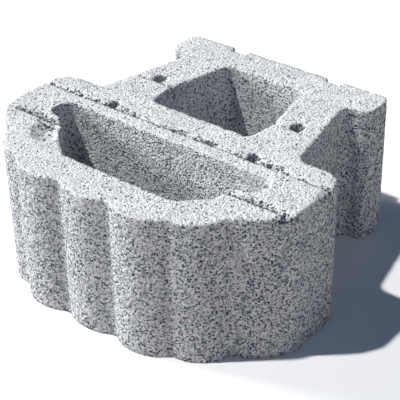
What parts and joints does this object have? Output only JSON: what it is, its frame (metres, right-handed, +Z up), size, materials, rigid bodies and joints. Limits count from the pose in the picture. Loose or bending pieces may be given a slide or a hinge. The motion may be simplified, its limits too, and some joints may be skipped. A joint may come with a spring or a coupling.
{
  "type": "retaining wall block",
  "caption": "Cast concrete retaining wall block with a lobed face, an open planting pocket, an open rear core, a tapered neck, a rear flange and pin holes.",
  "frame": {"origin": "on the bed plane, at the middle of the overall width and depth", "axes": "+Z up through the block's height, +X along its width, and the lobed face looks along -Y"},
  "size_m": [0.47, 0.43, 0.2],
  "materials": {
    "concrete": "open-textured dry-cast concrete, pale grey with dark and light specks"
  },
  "bodies": {
    "root": {"wall_block": "concrete"}
  },
  "joints": []
}
